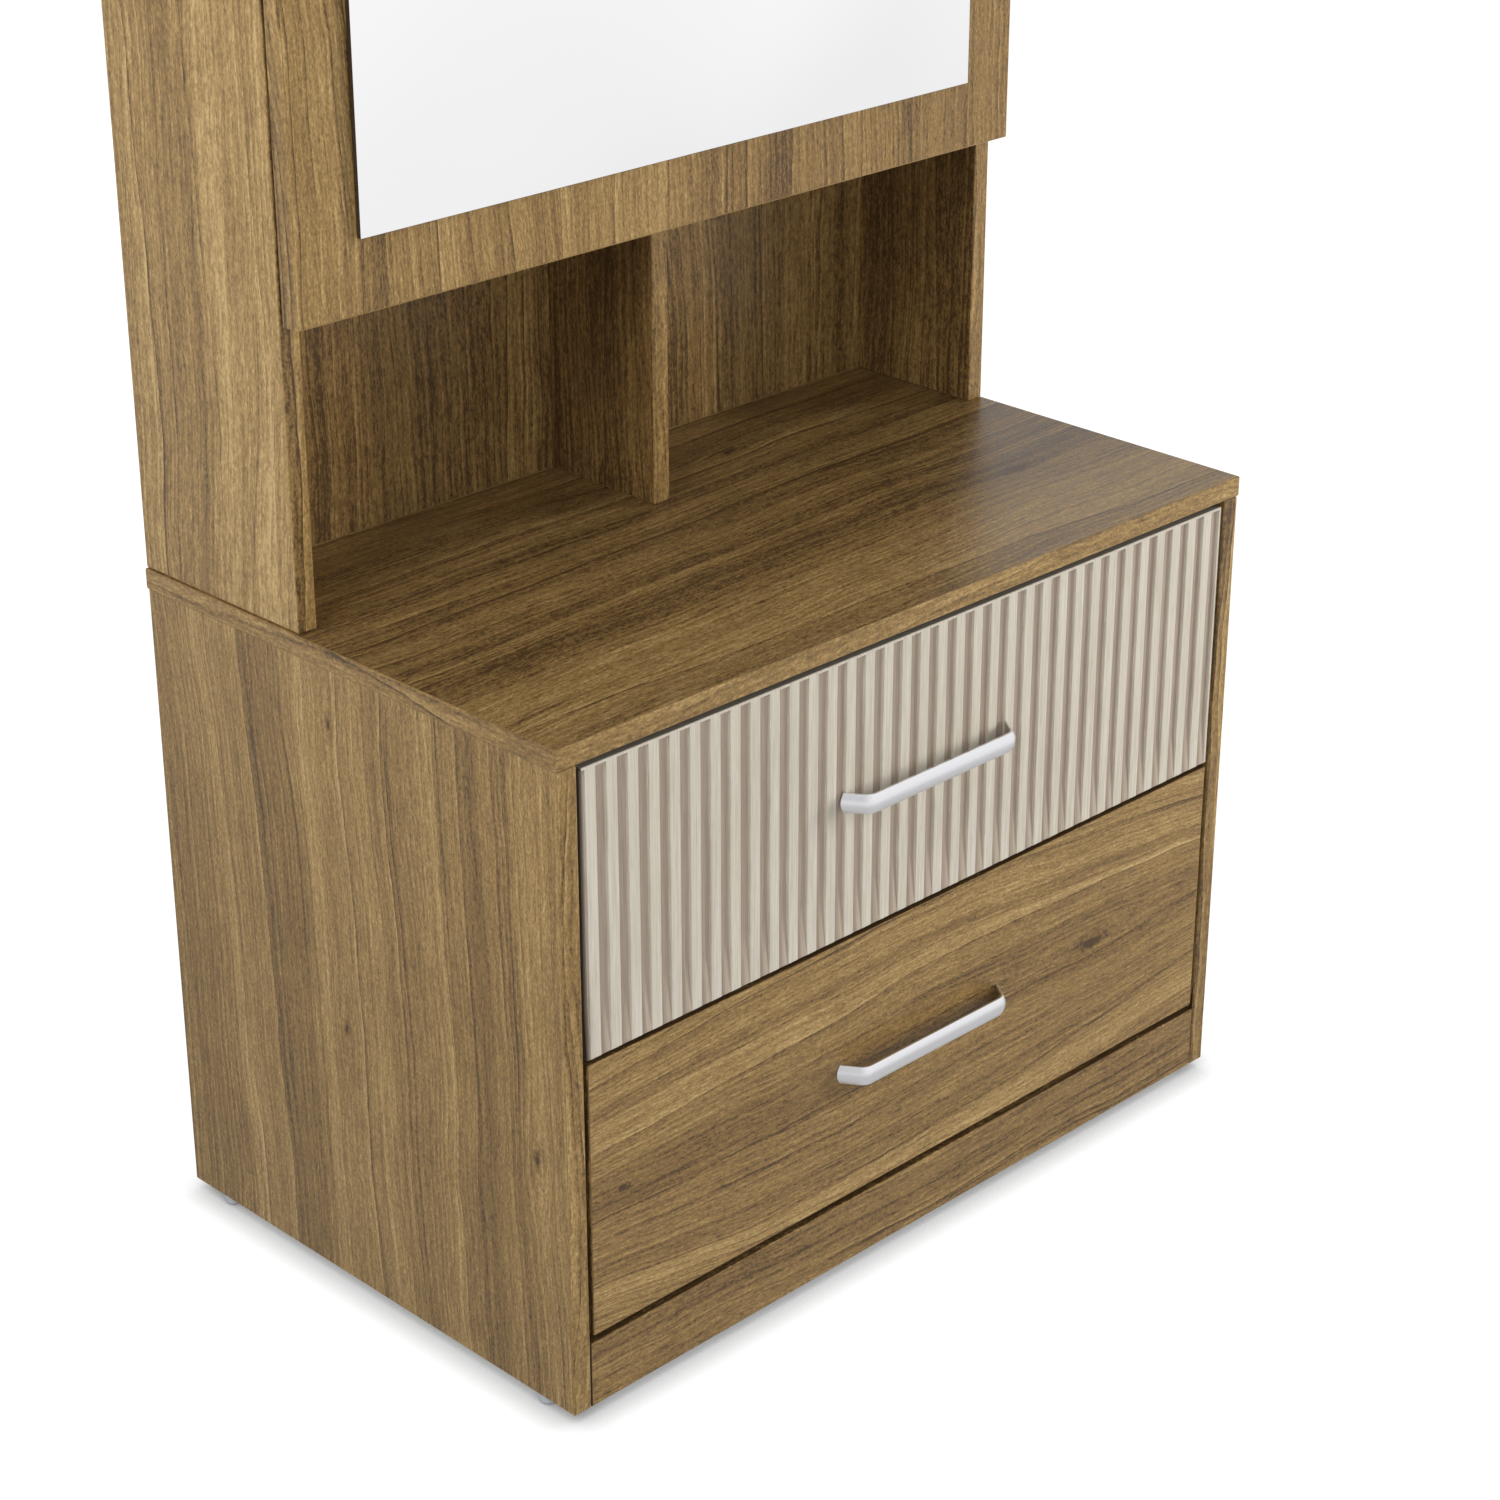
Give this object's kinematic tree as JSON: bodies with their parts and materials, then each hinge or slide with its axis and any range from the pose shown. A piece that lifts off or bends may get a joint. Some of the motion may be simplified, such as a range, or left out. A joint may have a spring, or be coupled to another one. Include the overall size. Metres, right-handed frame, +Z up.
{
  "type": "dresser",
  "caption": "Dresser: a base with a fluted and a plain drawer on telescopic slides, an open niche on its top and a tall hinged mirror door over shelves.",
  "frame": {"origin": "on the floor, at the centre of the footprint with the handles included", "axes": "+Z up, the front with the drawers and the mirror faces -Y, +X to the right of someone facing the front"},
  "size_m": [0.804, 0.5218, 1.7936],
  "materials": {
    "walnut_laminate": "yellowish-brown walnut-grained laminate, fine pores, satin",
    "cream_laminate": "cream wood-grained laminate with darker routed grooves, satin",
    "box_laminate": "plain off-white laminate, satin",
    "satin_metal": "satin white-silver coating on cast metal",
    "zinc_steel": "bright zinc-plated steel",
    "mirror": "silvered float glass with polished edges",
    "grey_plastic": "light grey moulded plastic",
    "catch_plastic": "brown moulded plastic"
  },
  "bodies": {
    "root": {"base_side_left": "walnut_laminate", "base_side_right": "walnut_laminate", "base_top": "walnut_laminate", "base_bottom": "walnut_laminate", "plinth_front": "walnut_laminate", "plinth_rear": "walnut_laminate", "base_back_panel": "walnut_laminate", "glide_front_left": "grey_plastic", "glide_front_right": "grey_plastic", "glide_rear_left": "grey_plastic", "glide_rear_right": "grey_plastic", "upper_slide_outer_left": "zinc_steel", "upper_slide_outer_right": "zinc_steel", "lower_slide_outer_left": "zinc_steel", "lower_slide_outer_right": "zinc_steel", "hutch_side_left": "walnut_laminate", "hutch_side_right": "walnut_laminate", "hutch_top": "walnut_laminate", "hutch_floor": "walnut_laminate", "hutch_divider": "walnut_laminate", "hutch_shelf_1": "walnut_laminate", "hutch_shelf_2": "walnut_laminate", "hutch_back_panel": "walnut_laminate", "hutch_hang_rail": "walnut_laminate", "door_catch": "catch_plastic", "hinge_leaf_fixed_1": "zinc_steel", "hinge_leaf_fixed_2": "zinc_steel", "hinge_leaf_fixed_3": "zinc_steel", "hinge_pin_1": "zinc_steel", "hinge_pin_2": "zinc_steel", "hinge_pin_3": "zinc_steel"},
    "upper_drawer": {"upper_drawer_front": "cream_laminate", "upper_drawer_side_left": "box_laminate", "upper_drawer_side_right": "box_laminate", "upper_drawer_back": "box_laminate", "upper_drawer_bottom": "box_laminate", "upper_drawer_handle": "satin_metal", "upper_slide_inner_left": "zinc_steel", "upper_slide_inner_right": "zinc_steel"},
    "upper_slide_middle": {"upper_slide_middle_left": "zinc_steel", "upper_slide_middle_right": "zinc_steel"},
    "lower_drawer": {"lower_drawer_front": "walnut_laminate", "lower_drawer_side_left": "box_laminate", "lower_drawer_side_right": "box_laminate", "lower_drawer_back": "box_laminate", "lower_drawer_bottom": "box_laminate", "lower_drawer_handle": "satin_metal", "lower_slide_inner_left": "zinc_steel", "lower_slide_inner_right": "zinc_steel"},
    "lower_slide_middle": {"lower_slide_middle_left": "zinc_steel", "lower_slide_middle_right": "zinc_steel"},
    "mirror_door": {"door_panel": "walnut_laminate", "mirror_glass": "mirror", "hinge_leaf_moving_1": "zinc_steel", "hinge_leaf_moving_2": "zinc_steel", "hinge_leaf_moving_3": "zinc_steel", "catch_strike_plate": "zinc_steel"}
  },
  "joints": [
    {"name": "upper_drawer_slide", "type": "slide", "parent": "root", "child": "upper_drawer", "axis": [0, -1, 0], "range_m": [0, 0.42]},
    {"name": "upper_middle_slide", "type": "slide", "parent": "root", "child": "upper_slide_middle", "axis": [0, -1, 0], "range_m": [0, 0.21]},
    {"name": "lower_drawer_slide", "type": "slide", "parent": "root", "child": "lower_drawer", "axis": [0, -1, 0], "range_m": [0, 0.42]},
    {"name": "lower_middle_slide", "type": "slide", "parent": "root", "child": "lower_slide_middle", "axis": [0, -1, 0], "range_m": [0, 0.21]},
    {"name": "mirror_door_hinge", "type": "hinge", "parent": "root", "child": "mirror_door", "pos_m": [0.3986, 0.0595, 0.8433], "axis": [0, 0, 1], "range_deg": [0, 105]}
  ],
  "couplings": [
    {"joint": "upper_middle_slide", "follows": "upper_drawer_slide", "ratio": 0.5},
    {"joint": "lower_middle_slide", "follows": "lower_drawer_slide", "ratio": 0.5}
  ]
}
